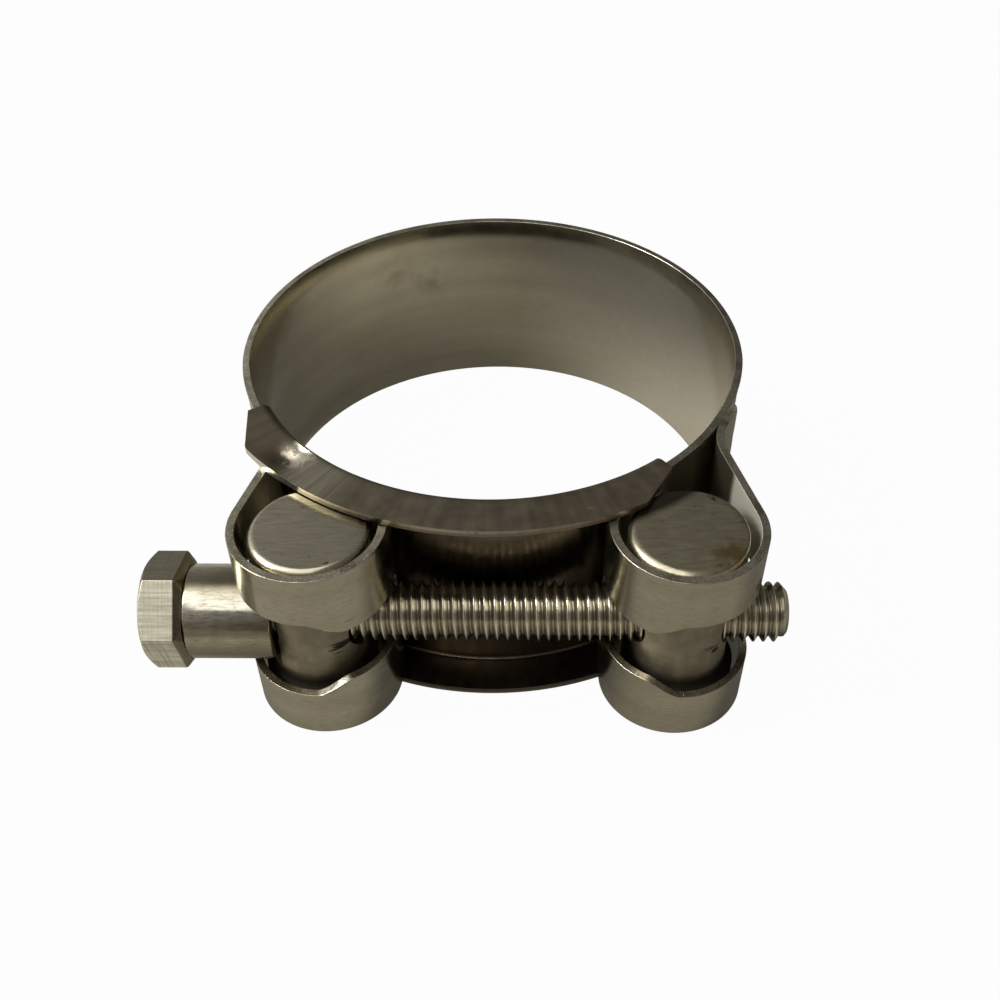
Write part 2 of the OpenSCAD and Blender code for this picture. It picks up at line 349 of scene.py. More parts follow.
def along_strip(shader):
    return add_node(shader.id_data, "ShaderNodeUVMap", uv_map="strip").outputs["UV"]


# Places on the strip in millimetres: centres with reaches, or spans over which a mask changes.
LOOP_START = (26.8, 27.5)
RING_SMUDGES = (((-12.8, 22.6, 5.8), 3.4), ((-8.5, 24.6, 3.4), 3.6))
STRIP_SCRATCH = ((-12.6, -34.5, 4.75), (0.7, 1.5, 0.09))
# Span along X over which the ring's right side gets painted light.
PAINTED_LIGHT_SPAN = (2.0, 20.0)
ROLL_START = 8.6
ROLL_DROP = 0.34
ROLL_SIDE_SHARE = 0.3
LIT_LINE = -21.2
LIT_SPAN = (-0.5, 0.3)
LIT_HEIGHT = (-1.0, 2.0)
STRIP_GRAIN = (60.0, 2200.0, 1.0)
STRIP_FLECKS = (900.0, 4200.0, 1.0)


def make_strip_steel():
    """Satin rolled strip: faint bands, flecks and smudges along it, the ring's edges rolled over, and
    painted light on the ring's right side.
    """
    material, shader, place = start_material("satin_strip")
    along = along_strip(shader)
    bands = use_group(GRAIN, along, Stretch=STRIP_GRAIN, Broad=0.14)["Bands"]
    marks, second = (stain(place, 420.0, *smudge) for smudge in RING_SMUDGES)
    tone = blend_colour(remap(bands, 0.35, 0.65, 0.0, 0.55), STEEL, STEEL_DARK)
    specks = use_group(PITS, place, Scale=1700.0, Size=0.2, Share=0.14)["Pits"]
    tone = blend_colour(times(specks, 0.5), tone, STEEL_BROWN)
    tone = blend_colour(times(plus(marks["Spot"], second["Spot"]), 0.5), tone, STEEL_BROWN)
    tone = blend_colour(nick(place, *STRIP_SCRATCH), tone, NEAR_BLACK)
    wide = clouds(along, 130.0)
    tone = blend_colour(times(wide, 0.45), tone, STEEL_DARK)
    angle, radius, height = around_place(place)
    on_ring = zone(radius, LOOP_START, 1.0, 0.0)
    # Painted light: the ring's right side is made brighter, standing in for the lit floor that it reflects.
    painted_right_light = times(zone(split(place)[0], PAINTED_LIGHT_SPAN, 0.0, 0.9), on_ring)
    tone = blend_colour(painted_right_light, tone, STEEL_BRIGHT)
    tone = blend_colour(times(clouds(place, 1100.0), 0.14), tone, STEEL_DARK)
    flecks = use_group(GRAIN, along, Stretch=STRIP_FLECKS)["Lines"]
    flecks = times(remap(flecks, 0.46, 0.68), remap(on_ring, 0.0, 1.0, 0.32, 0.1))
    tone = blend_colour(flecks, tone, STEEL_BROWN)
    roughness = plus(remap(bands, 0.35, 0.65, 0.16, 0.22), times(marks["Cloud"], 0.05))
    from_edge = minus(maths("ABSOLUTE", height), ROLL_START * MM)
    rolled = times(maths("MAXIMUM", from_edge, 0.0), 1.0 / ((STRIP_WIDTH / 2 - ROLL_START) * MM))
    sideways = maths("ABSOLUTE", maths("COSINE", angle))
    depth = times(remap(sideways, 0.0, 1.0, ROLL_DROP, ROLL_DROP * ROLL_SIDE_SHARE), on_ring)
    drop = times(times(times(rolled, rolled), depth), -MM)
    finish_material(shader, tone, roughness, plus(drop, times(wide, 20 * MICRON)))
    return material


def make_loop_steel():
    """The strip's other side: satin round the ring, smoother inside the loops, and lighter by the legs with
    a painted reflection of the lit floor.
    """
    material, shader, place = start_material("smooth_strip")
    grain = use_group(GRAIN, along_strip(shader), Stretch=STRIP_GRAIN, Broad=0.14)
    in_loop = zone(around_place(place)[1], LOOP_START)
    tone = blend_colour(remap(grain["Bands"], 0.35, 0.65, 0.0, 0.35), STEEL, STEEL_DARK)
    x, y, z = split(place)
    # Painted reflection: the legs inside the loops are made lighter and less metallic, standing in for the
    # lit floor seen through the loop.
    towards = times(minus(y, LIT_LINE * MM), zone(x, (-1.0, 1.0), 1.0, -1.0))
    lit = times(times(zone(towards, LIT_SPAN), in_loop), zone(z, LIT_HEIGHT))
    tone = blend_colour(lit, tone, STEEL_BRIGHT)
    set_input(shader.inputs["Metallic"], remap(lit, 0.0, 1.0, 0.95, 0.5))
    roughness = plus(remap(in_loop, 0.0, 1.0, 0.2, 0.16), times(clouds(place, 420.0), 0.04))
    finish_material(shader, tone, roughness, times(grain["Lines"], 0.2 * MICRON))
    return material


# Freshly cut stretches of the lower slot edges: centres and reaches in millimetres.
BRIGHT_CUTS = (((-14.9, -34.75, -4.1), (2.6, 1.4, 2.0)), ((15.0, -34.0, -3.5), (1.9, 1.4, 1.1)))


def make_strip_edge():
    """Sheared edge of the strip: fine torn specks with bright flecks and freshly cut stretches."""
    material, shader, place = start_material("sheared_strip_edge")
    grain = use_group(GRAIN, place, Stretch=(1700.0, 1700.0, 900.0), Broad=0.2)
    specks = use_group(PITS, place, Scale=5200.0, Size=0.6, Share=0.4)["Pits"]
    flecks = use_group(PITS, place, Scale=4300.0, Size=0.5, Share=0.22)["Pits"]
    tone = blend_colour(remap(grain["Lines"], 0.35, 0.65), STEEL_BRIGHT, STEEL_DARK)
    tone = blend_colour(remap(grain["Bands"], 0.45, 0.7, 0.0, 0.7), tone, STEEL_BROWN)
    tone = blend_colour(times(specks, 0.8), tone, STEEL_BROWN)
    tone = blend_colour(flecks, tone, CREAM)
    for cut in BRIGHT_CUTS:
        tone = blend_colour(remap(nick(place, *cut), 0.1, 0.4), tone, CREAM)
    roughness = remap(grain["Lines"], 0.3, 0.7, 0.22, 0.4)
    finish_material(shader, tone, roughness, times(minus(grain["Lines"], specks), 12 * MICRON))
    return material


# Places on the bridge plate in millimetres, and the angle of its scored stretch in degrees.
CRIMP_LINES = 234.0
CRIMP_SPREAD = 9.0
LIP_STAIN = ((8.5, -26.8, 11.8), 5.0)
CRIMP_DENT = ((-18.4, -19.0, 11.2), 2.7)
CRIMP_PITS = ((-19.0, -18.6, 11.2), (2.6, 2.6, 2.6))
LIP_SCRATCH = ((9.5, -26.75, 11.85), (0.5, 0.1, 1.0))
LEFT_SIDE = (-12.0, -17.0)
FOLD_SPAN = (26.5, 25.8)
# Span along X of the pressed end that gets painted shade.
PRESSED_END = (-19.2, -20.6)
LIP_SPAN = (10.8, 11.2)
# Heights on the face where painted reflections lighten it above and turn it browner below.
UPPER_FACE = (-3.0, 4.0)
LOWER_FACE = (-6.5, -9.0)
EDGE_ACROSS = (-5.0, 5.0)
EDGE_UNDER = (11.52, 11.46)
EDGE_FRONT = (-16.5, -14.0)
EDGE_HIGHLIGHT = (-17.6, -18.8)


def make_plate_steel():
    """Dull mottled sheet: scored across the lip at the crimp, burnished in its dent, dark on its face."""
    material, shader, place = start_material("dull_plate")
    angle, radius, height = around_place(place)
    x = split(place)[0]
    grain = use_group(GRAIN, join(angle, radius, 0.0), Stretch=(110.0, 90.0, 1.0), Broad=0.3)
    marks = stain(place, 650.0, *LIP_STAIN)
    from_crimp = minus(angle, math.radians(CRIMP_LINES - 360.0))
    away = times(from_crimp, 1.0 / math.radians(CRIMP_SPREAD))
    near = maths("MAXIMUM", minus(1.0, times(away, away)), 0.0)
    lines = remap(grain["Lines"], 0.38, 0.62)
    tone = blend_colour(marks["Cloud"], PLATE_DULL, PLATE_DARK)
    tone = blend_colour(times(lines, 0.12), tone, PLATE_DARK)
    tone = blend_colour(times(near, remap(lines, 0.0, 1.0, 0.35, 1.0)), tone, STEEL)
    tone = blend_colour(times(marks["Spot"], 0.4), tone, STEEL_STAINED)
    # Painted shade along the rounded fold of the lip on the left side.
    fold_shade = times(zone(radius, FOLD_SPAN), zone(x, LEFT_SIDE))
    tone = blend_colour(times(fold_shade, 0.6), tone, STEEL_DARK)
    # Painted shade: the tilted pressed end is made darker, as if it reflected something dark.
    tone = blend_colour(times(zone(x, PRESSED_END), 0.9), tone, STEEL_BROWN)
    worn = remap(stain(place, 1000.0, *CRIMP_DENT)["Spot"], 0.12, 0.3)
    tone = blend_colour(times(worn, 0.55), tone, CREAM)
    pits = use_group(PITS, place, Scale=1100.0, Size=0.4, Share=0.2)["Pits"]
    pits = times(pits, nick(place, *CRIMP_PITS))
    tone = blend_colour(remap(pits, 0.1, 0.3), tone, NEAR_BLACK)
    tone = blend_colour(times(nick(place, *LIP_SCRATCH), 0.8), tone, STEEL_BRIGHT)
    # Painted shadow on the plate's face, lighter towards the top and browner towards the bottom as painted
    # reflections.
    on_face = zone(maths("ABSOLUTE", height), LIP_SPAN, 1.0, 0.0)
    face = blend_colour(times(zone(height, UPPER_FACE), 0.8), PLATE_FACE_SHADOW, PLATE_DARK)
    face = blend_colour(zone(height, LOWER_FACE, 0.0, 0.45), face, STEEL_BROWN)
    tone = blend_colour(on_face, tone, face)
    roughness = minus(remap(grain["Bands"], 0.35, 0.65, 0.3, 0.38), times(on_face, 0.12))
    scoring = times(grain["Lines"], plus(0.6 * MICRON, times(near, 4 * MICRON)))
    finish_material(shader, tone, roughness, minus(scoring, times(pits, 80 * MICRON)))
    return material


def make_plate_edge():
    """Sheared edge of the bridge: a painted highlight at the pressed end, then bright, and dull towards the
    bolt's tip.
    """
    material, shader, place = start_material("sheared_plate_edge")
    x, _, z = split(place)
    lines = use_group(GRAIN, place, Stretch=(1300.0, 1300.0, 900.0))["Lines"]
    across = zone(x, EDGE_ACROSS)
    tone = blend_colour(across, STEEL_DARK, PLATE_DULL)
    under = times(zone(maths("ABSOLUTE", z), EDGE_UNDER), zone(x, EDGE_FRONT))
    tone = blend_colour(under, tone, PLATE_DARK)
    tone = blend_colour(remap(lines, 0.5, 0.8), tone, STEEL_BROWN)
    # Painted highlight: the edge at the pressed end is made cream-bright.
    tone = blend_colour(zone(x, EDGE_HIGHLIGHT), tone, CREAM)
    finish_material(shader, tone, remap(across, 0.0, 1.0, 0.3, 0.42), times(lines, 4 * MICRON))
    return material


# Places on the trunnions in millimetres. Tears are given by centre and reach.
WAIST_SPAN = (10.2, 9.4)
LIP_SHADE = (31.2, 30.4)
# Heights over which the waist's foot gets painted shadow.
WAIST_FOOT_SHADOW = (-4.1, -5.2)
LEFT_TEARS = (
    ((-13.9, -32.4, -0.6), (1.5, 2.2, 0.5)),
    ((-14.5, -32.9, -0.95), (1.3, 2.0, 0.15)),
    ((-14.6, -33.0, -0.2), (0.9, 2.0, 0.1)),
    ((-14.4, -32.9, -1.6), (0.7, 2.0, 0.09)),
)
RIGHT_TEARS = (
    ((21.6, -32.5, -0.9), (1.2, 2.0, 0.12)),
    ((22.0, -32.2, -1.5), (0.5, 2.0, 0.4)),
    ((21.2, -32.8, -0.6), (0.9, 2.0, 0.07)),
)


def make_trunnion_steel(name, axis_x, light, dark, spot, tears):
    """Sawn heads with fine scratches and pits, a dull turned waist, torn metal by the drilled hole, and
    painted shadow under the lip and at the waist's foot.
    """
    material, shader, place = start_material(name)
    angle, _, height = around_place(place, (axis_x, BOLT_Y, 0.0))
    saw = use_group(GRAIN, place, Stretch=(480.0, 3000.0, 3000.0), Broad=0.25)
    turned = use_group(GRAIN, join(angle, 0.0, height), Stretch=(9.0, 1.0, 420.0), Broad=0.6)
    pits = use_group(PITS, place, Scale=1250.0, Size=0.2, Share=0.3)["Pits"]
    marks = stain(place, 620.0, *spot)
    waist = zone(maths("ABSOLUTE", height), WAIST_SPAN)
    lines = remap(saw["Lines"], 0.38, 0.64)
    tone = blend_colour(times(lines, 0.75), light, dark)
    tone = blend_colour(remap(saw["Bands"], 0.42, 0.62, 0.0, 0.5), tone, dark)
    tone = blend_colour(times(marks["Cloud"], 0.35), tone, dark)
    dull = blend_colour(remap(turned["Bands"], 0.35, 0.65, 0.0, 0.6), STEEL_DARK, PLATE_DULL)
    dull = blend_colour(remap(turned["Lines"], 0.4, 0.7, 0.0, 0.6), dull, PLATE_DULL)
    dull = blend_colour(times(marks["Cloud"], 0.4), dull, STEEL_BROWN)
    tone = blend_colour(waist, tone, dull)
    tone = blend_colour(remap(marks["Spot"], 0.05, 0.6, 0.0, 0.85), tone, STEEL_STAINED)
    tone = blend_colour(times(pits, minus(0.8, times(waist, 0.6))), tone, NEAR_BLACK)
    # Painted shadow: the heads are darkened where the lip overhangs their back edge.
    lip_shadow = times(zone(around_place(place)[1], LIP_SHADE), minus(1.0, waist))
    tone = blend_colour(times(lip_shadow, 0.85), tone, NEAR_BLACK)
    # Painted shadow at the foot of the waist, next to the lower slot edge.
    foot_shadow = times(zone(height, WAIST_FOOT_SHADOW, 0.0, 0.85), waist)
    tone = blend_colour(foot_shadow, tone, NEAR_BLACK)
    relief = times(saw["Lines"], 3 * MICRON)
    for tear in tears:
        torn = remap(plus(nick(place, *tear), times(lines, 0.12)), 0.2, 0.45)
        tone = blend_colour(times(torn, 0.9), tone, NEAR_BLACK)
        relief = minus(relief, times(torn, 100 * MICRON))
    roughness = plus(remap(saw["Bands"], 0.35, 0.65, 0.22, 0.3), times(waist, 0.34))
    finish_material(shader, tone, roughness, relief)
    return material


# Heights on the sleeve in millimetres above the bolt's axis, for its painted highlight and painted shade.
SLEEVE_SHADE_BELOW = (0.8, -1.2)
SLEEVE_SHADE_STREAK = 1.55
SHADE_STREAK_SPAN = (0.1, 0.6)
SLEEVE_HIGHLIGHT = 3.4
HIGHLIGHT_SPAN = (0.5, 1.1)
SLEEVE_SHADE_TOP = (4.3, 4.7)


def make_sleeve_steel():
    """Brushed tube: a painted highlight along it, and painted shade underneath, on top and in one streak."""
    material, shader, place = start_material("turned_sleeve")
    drawn = use_group(GRAIN, place, Stretch=(330.0, 2600.0, 2600.0), Broad=0.25)
    height = split(place)[2]
    tone = blend_colour(remap(drawn["Lines"], 0.35, 0.7, 0.0, 0.6), STEEL, STEEL_DARK)
    tone = blend_colour(times(clouds(place, 520.0), 0.28), tone, STEEL_BROWN)
    # Painted shade on the sleeve's underside.
    tone = blend_colour(times(zone(height, SLEEVE_SHADE_BELOW), 0.95), tone, STEEL_BROWN)
    # Painted shade: a brown streak along the sleeve.
    shade_streak = zone(distance_from(height, SLEEVE_SHADE_STREAK), SHADE_STREAK_SPAN, 0.6, 0.0)
    tone = blend_colour(shade_streak, tone, STEEL_BROWN)
    # Painted highlight: a bright band along the sleeve.
    painted_highlight = zone(distance_from(height, SLEEVE_HIGHLIGHT), HIGHLIGHT_SPAN, 0.9, 0.0)
    tone = blend_colour(painted_highlight, tone, STEEL_BRIGHT)
    # Painted shade on top of the sleeve, standing in for the dark reflection there.
    tone = blend_colour(times(zone(height, SLEEVE_SHADE_TOP), 0.7), tone, STEEL_BROWN)
    pits = use_group(PITS, place, Scale=1300.0, Size=0.16, Share=0.2)["Pits"]
    tone = blend_colour(times(pits, 0.7), tone, STEEL_BROWN)
    flecks = use_group(GRAIN, place, Stretch=(1100.0, 5200.0, 5200.0))["Lines"]
    tone = blend_colour(remap(flecks, 0.46, 0.68, 0.0, 0.55), tone, STEEL_BROWN)
    roughness = remap(drawn["Bands"], 0.35, 0.65, 0.15, 0.27)
    finish_material(shader, tone, roughness, times(drawn["Lines"], 4 * MICRON))
    return material


# Spans of radius and height on the thread, in millimetres, for its painted shade.
ROOT_SHADE_SPAN = (THREAD_ROOT + 0.1, THREAD_CREST - 0.06)
FLANK_SPAN = (THREAD_ROOT + 0.2, THREAD_CREST - 0.04)
THREAD_SHADE_BELOW = (0.8, -0.8)


def make_thread_steel():
    """Rolled thread, bright on its crests, with painted shade in its roots and underneath."""
    material, shader, place = start_material("rolled_thread")
    _, y, z = split(place)
    radius = vector_maths("LENGTH", join(minus(y, BOLT_Y * MM), z, 0.0), output="Value")
    grain = use_group(GRAIN, place, Stretch=(900.0, 900.0, 900.0))
    tone = blend_colour(remap(grain["Lines"], 0.35, 0.65, 0.0, 0.5), CREAM, STEEL)
    # Painted shade in the thread's roots.
    tone = blend_colour(times(zone(radius, ROOT_SHADE_SPAN, 1.0, 0.0), 0.6), tone, STEEL_BROWN)
    # Painted shade on the thread's underside.
    low = times(zone(z, THREAD_SHADE_BELOW, 0.0, 0.9), zone(radius, FLANK_SPAN, 1.0, 0.5))
    tone = blend_colour(low, tone, STEEL_BROWN)
    roughness = remap(grain["Bands"], 0.3, 0.7, 0.18, 0.28)
    finish_material(shader, tone, roughness, times(grain["Lines"], MICRON))
    return material


# The hexagon's upper flat by its turn in degrees, and spans in millimetres; the flat and the slopes get
# painted shade.
UPPER_FLAT = (75.5, 76.5)
FLANK_START = (HEX_FACE - 0.05, HEX_FACE + 0.05)
SHADED_SLOPE_SPAN = (-29.73, -29.63)


def make_hex_steel():
    """Milled flats with fine lines both ways; painted shade darkens the upper flat and the slopes to the
    sleeve.
    """
    material, shader, place = start_material("milled_hex")
    lengthwise = use_group(GRAIN, place, Stretch=(160.0, 2600.0, 2600.0), Broad=0.2)["Lines"]
    across = use_group(GRAIN, place, Stretch=(3600.0, 160.0, 160.0), Broad=0.2)["Lines"]
    ticks = remap(across, 0.42, 0.66)
    tone = blend_colour(times(remap(lengthwise, 0.38, 0.62), 0.7), CREAM, STEEL_DARK)
    tone = blend_colour(times(ticks, 0.6), tone, STEEL_DARK)
    x, y, z = split(place)
    ahead = minus(times(y, -1.0), -BOLT_Y * MM)
    radius = vector_maths("LENGTH", join(ahead, z, 0.0), output="Value")
    upper = remap(maths("ARCTAN2", z, ahead), *(math.radians(turn) for turn in UPPER_FLAT))
    upper = times(upper, zone(radius, FLANK_START))
    # Painted shade on the upper flat.
    tone = blend_colour(times(upper, 0.75), tone, STEEL_BROWN)
    # Painted shade on the slopes towards the sleeve.
    tone = blend_colour(times(zone(x, SHADED_SLOPE_SPAN), 0.85), tone, STEEL_SHADED_SLOPE)
    roughness = minus(remap(ticks, 0.0, 1.0, 0.4, 0.5), times(upper, 0.12))
    relief = plus(times(lengthwise, 6 * MICRON), times(across, 5 * MICRON))
    finish_material(shader, tone, roughness, relief)
    return material


strip_steel = make_strip_steel()
loop_steel = make_loop_steel()
strip_edge = make_strip_edge()
plate_steel = make_plate_steel()
plate_edge = make_plate_edge()
left_trunnion_steel = make_trunnion_steel(
    "sawn_left_trunnion",
    -16.93,
    colour(0.7, 0.655, 0.52),
    colour(0.46, 0.42, 0.315),
    ((-17.2, -25.8, 11.0), 0.5),
    LEFT_TEARS,
)
right_trunnion_steel = make_trunnion_steel(
    "sawn_right_trunnion",
    18.58,
    colour(0.72, 0.67, 0.5),
    colour(0.45, 0.4, 0.28),
    ((22.2, -31.7, 11.0), 2.5),
    RIGHT_TEARS,
)
sleeve_steel = make_sleeve_steel()
thread_steel = make_thread_steel()
hex_steel = make_hex_steel()


# Mesh helpers.

EDGE_SEGMENTS = 3


def new_piece(name, mesh_builder, materials, body, replaced=None):
    shape = bmesh.new()
    mesh_builder(shape)
    mesh = bpy.data.meshes.new(name)
    bmesh.ops.scale(shape, vec=(MM, MM, MM), verts=shape.verts)
    shape.to_mesh(mesh)
    shape.free()
    piece = bpy.data.objects.new(name, mesh)
    bpy.context.scene.collection.objects.link(piece)
    for material in materials:
        mesh.materials.append(material)
    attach(piece, body)
    if replaced:
        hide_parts(replaced)
    return piece


def add_wall(piece, thickness, edge_width, back=0):
    """Gives a sheet its thickness, half to each side, with softly broken edges.

    The sheet's other side takes the material in place back, and its edges the next one.
    """
    wall = piece.modifiers.new("wall", "SOLIDIFY")
    wall.thickness = thickness * MM
    wall.offset = 0.0
    wall.use_even_offset = True
    wall.material_offset = back
    wall.material_offset_rim = back + 1
    add_soft_edges(piece, edge_width)


def add_soft_edges(piece, width, angle=40.0):
    soft = piece.modifiers.new("soft_edges", "BEVEL")
    soft.width = width * MM
    soft.segments = EDGE_SEGMENTS
    soft.limit_method = "ANGLE"
    soft.angle_limit = math.radians(angle)
    soft.harden_normals = True
    soft.profile = 0.5
    soft.material = -1
    piece.data.shade_smooth()


def fit_grid(shape, columns, rows, place, uv_place=None):
    """A grid of faces whose corner in column c and row r is moved to place(c, r)."""
    bmesh.ops.create_grid(shape, x_segments=columns - 1, y_segments=rows - 1, size=1.0)
    faces = {}
    spots = {}
    for face in shape.faces:
        middle = face.calc_center_median()
        column = math.floor((middle.x + 1.0) / 2.0 * (columns - 1))
        row = math.floor((middle.y + 1.0) / 2.0 * (rows - 1))
        faces[column, row] = face
    for vert in shape.verts:
        column = round((vert.co.x + 1.0) / 2.0 * (columns - 1))
        row = round((vert.co.y + 1.0) / 2.0 * (rows - 1))
        vert.co = place(column, row)
        spots[vert] = column
    if uv_place:
        layer = shape.loops.layers.uv.new("strip")
        for face in shape.faces:
            for loop in face.loops:
                loop[layer].uv = uv_place(spots[loop.vert], loop.vert.co.z)
    return faces


# Band strip. Steps are the lengths of its faces along the ring, the bends and the turned-back ends.

RING_STEP = 0.6
BEND_STEP = 0.25
TAIL_STEP = 0.3


def arc_points(centre, radius, first, last, step):
    count = max(2, math.ceil(abs(math.radians(last - first)) * radius / step))
    return [centre + polar(radius, first + (last - first) * i / count) for i in range(count + 1)]


def loop_path(loop_x):
    """Points of one half of the strip, from the back of the ring to the tail's end, seen on the right."""
    leg_x = loop_x - LOOP_MIDDLE
    root_angle = math.degrees(math.acos((leg_x + ROOT_BEND) / (RING_MIDDLE + ROOT_BEND)))
    root = polar(RING_MIDDLE + ROOT_BEND, -root_angle)
    loop = Vector((loop_x, LOOP_Y))
    heading = polar(1.0, 90 + LOOP_OVERTURN)
    base = loop + polar(LOOP_MIDDLE + RETURN_BEND, LOOP_OVERTURN)
    along = base.dot(heading)
    far = TAIL_MIDDLE + RETURN_BEND
    run = -along - math.sqrt(along * along - base.dot(base) + far * far)
    bend = base + run * heading
    tail_start = math.degrees(math.atan2(bend.y, bend.x))
    tail_sweep = math.degrees(TAIL_LENGTH / TAIL_MIDDLE)

    points = arc_points(Vector((0, 0)), RING_MIDDLE, 90, -root_angle, RING_STEP)
    points += arc_points(root, ROOT_BEND, 180 - root_angle, 180, BEND_STEP)[1:]
    for a in range(4, 90, 7):
        height = BOLT_Y + BOLT_SLOT_HALF * math.cos(math.radians(a))
        if LOOP_Y + 0.05 < height < root.y - 0.03:
            points.append(Vector((leg_x, height)))
    points += arc_points(loop, LOOP_MIDDLE, 180, 360 + LOOP_OVERTURN, BEND_STEP)
    start = loop + polar(LOOP_MIDDLE, LOOP_OVERTURN)
    slot_round_y = BOLT_Y + SLOT_REACH
    for a in range(4, 90, 6):
        travel = (slot_round_y + SLOT_HALF * math.sin(math.radians(a)) - start.y) / heading.y
        if 0.1 < travel < run - 0.1:
            points.append(start + travel * heading)
    points += arc_points(bend, RETURN_BEND, 180 + LOOP_OVERTURN, 180 + tail_start, BEND_STEP)
    edges = [STRIP_WIDTH / 2] * len(points)
    tail = arc_points(Vector((0, 0)), TAIL_MIDDLE, tail_start, tail_start + tail_sweep, TAIL_STEP)[1:]
    for count, point in enumerate(tail, 1):
        share = count / len(tail)
        points.append(point * (1.0 - TAIL_SINK * share**2 / TAIL_MIDDLE))
        edges.append(STRIP_WIDTH / 2 + (TAIL_END_HALF - STRIP_WIDTH / 2) * share)
    weld = polar(TAIL_MIDDLE, tail_start + tail_sweep / 2)
    return points, edges, weld


SLOT_SPAN = 8.0
LEG_PLAY = 0.3
RING_PLAY = 1.0


def slot_half(point, loop_x):
    """Half the height of the slot where the strip passes a point; 0 where there is none."""
    leg_x = loop_x - LOOP_MIDDLE
    on_ring = point.length < RING_MIDDLE + RING_PLAY
    if on_ring or point.y > LOOP_Y + SLOT_SPAN or point.x < leg_x - LEG_PLAY:
        return 0.0
    if point.x < loop_x:
        past = point.y - BOLT_Y
        if past > 0:
            return math.sqrt(max(0.0, BOLT_SLOT_HALF**2 - past**2))
        slant = min(max((point.x - loop_x + SLOT_SLANT) / SLOT_SLANT, 0.0), 1.0)
        slant = 0.5 * slant + 0.5 * slant * slant * (3.0 - 2.0 * slant)
        return BOLT_SLOT_HALF + (SLOT_HALF - BOLT_SLOT_HALF) * slant
    past = point.y - (BOLT_Y + SLOT_REACH)
    if past > 0:
        return math.sqrt(max(0.0, SLOT_HALF**2 - past**2))
    return SLOT_HALF


FLARE = 0.26
FLARE_START = 8.6
FLARE_END_TURN = 27.0
FLARE_FADE = 22.0


def flare(point, z):
    """How far the ring's edges turn outwards, most at its two sides."""
    if point.length > TAIL_MIDDLE + 0.1:
        return 0.0
    turn = math.degrees(math.atan2(point.y, abs(point.x)))
    side = min(max((turn + FLARE_END_TURN) / FLARE_FADE, 0.0), 1.0)
    if turn > 0:
        side = math.cos(math.radians(turn)) ** 2
    into = max(0.0, abs(z) - FLARE_START) / (STRIP_WIDTH / 2 - FLARE_START)
    return FLARE * side * into * into


STRIP_SIDE_ROWS = 14
STRIP_MIDDLE_ROWS = 10
STRIP_PLAIN_HALF = 3.5
WELD_SLOPE = 0.35


def build_band(shape):
    right, right_edges, right_weld = loop_path(RIGHT_LOOP_X)
    left, left_edges, left_weld = loop_path(LEFT_LOOP_X)
    turn_over = Matrix.Scale(-1.0, 2, (1.0, 0.0))
    stations = [(turn_over @ p, slot_half(p, LEFT_LOOP_X)) for p in reversed(left[1:])]
    stations += [(p, slot_half(p, RIGHT_LOOP_X)) for p in right]
    edges = left_edges[:0:-1] + right_edges
    welds = [turn_over @ left_weld, right_weld]
    columns = len(stations)
    rows = 2 * STRIP_SIDE_ROWS + STRIP_MIDDLE_ROWS + 1

    def place(column, row):
        point, half = stations[column]
        edge = edges[column]
        half = half or STRIP_PLAIN_HALF
        if row <= STRIP_SIDE_ROWS:
            z = -edge + (edge - half) * row / STRIP_SIDE_ROWS
        elif row <= STRIP_SIDE_ROWS + STRIP_MIDDLE_ROWS:
            z = -half + 2 * half * (row - STRIP_SIDE_ROWS) / STRIP_MIDDLE_ROWS
        else:
            z = half + (edge - half) * (row - STRIP_SIDE_ROWS - STRIP_MIDDLE_ROWS) / STRIP_SIDE_ROWS
        point = point * (1.0 + flare(point, z) / RING_MIDDLE)
        return Vector((point.x, point.y, z))

    travel = [0.0]
    for (here, _), (there, _) in zip(stations, stations[1:]):
        travel.append(travel[-1] + (there - here).length)
    faces = fit_grid(shape, columns, rows, place, lambda column, z: (travel[column] * MM, z * MM))
    open_rows = range(STRIP_SIDE_ROWS, STRIP_SIDE_ROWS + STRIP_MIDDLE_ROWS)
    cut = [
        faces[column, row]
        for column in range(columns - 1)
        if stations[column][1] > 0 and stations[column + 1][1] > 0
        for row in open_rows
    ]
    bmesh.ops.delete(shape, geom=cut, context="FACES")
    bmesh.ops.recalc_face_normals(shape, faces=shape.faces)
    behind = Vector((0.0, RING_MIDDLE, 0.0))
    last = min(shape.faces, key=lambda face: (face.calc_center_median() - behind).length)
    if last.normal.y > 0:
        bmesh.ops.reverse_faces(shape, faces=shape.faces)
    for vert in shape.verts:
        for weld in welds:
            for side in (-1, 1):
                away = (vert.co - Vector((weld.x, weld.y, side * WELD_OFFSET))).length
                if away < WELD_RADIUS:
                    sink = WELD_DEPTH * min(1.0, (WELD_RADIUS - away) / WELD_SLOPE)
                    vert.co -= Vector((weld.x, weld.y, 0.0)).normalized() * sink


# Bridge plate.

LIP_OUTER = CLAMP_RADIUS + LIP_WIDTH
PLATE_MIDDLE = CLAMP_RADIUS + PLATE_THICKNESS / 2
LIP_MIDDLE_Z = STRIP_WIDTH / 2 + SHEET_GAP + PLATE_THICKNESS / 2
FOLD_MIDDLE = FOLD_RADIUS + PLATE_THICKNESS / 2
FOLD_CENTRE_R = CLAMP_RADIUS + FOLD_RADIUS + PLATE_THICKNESS
FOLD_CENTRE_Z = LIP_MIDDLE_Z - FOLD_MIDDLE
LIP_ROWS = 10
FOLD_ROWS = 6
SHOULDER_ROWS = 2
PLATE_ROWS = 14
LIP_COLUMNS = 150
FRONT = 270.0

# The pressed left end of the lips: turns in degrees from the front, the rest in millimetres.
DENT_TURN = 44.5
DENT_SPREAD = 3.6
DENT_RADIUS = 27.6
DENT_REACH = 1.5
DENT_DEPTH = 0.75
FALL_TURN = 44.0
FALL_SPREAD = 8.0
FALL_RADIUS = 26.0
FALL_REACH = 3.0
FALL_DEPTH = 0.22


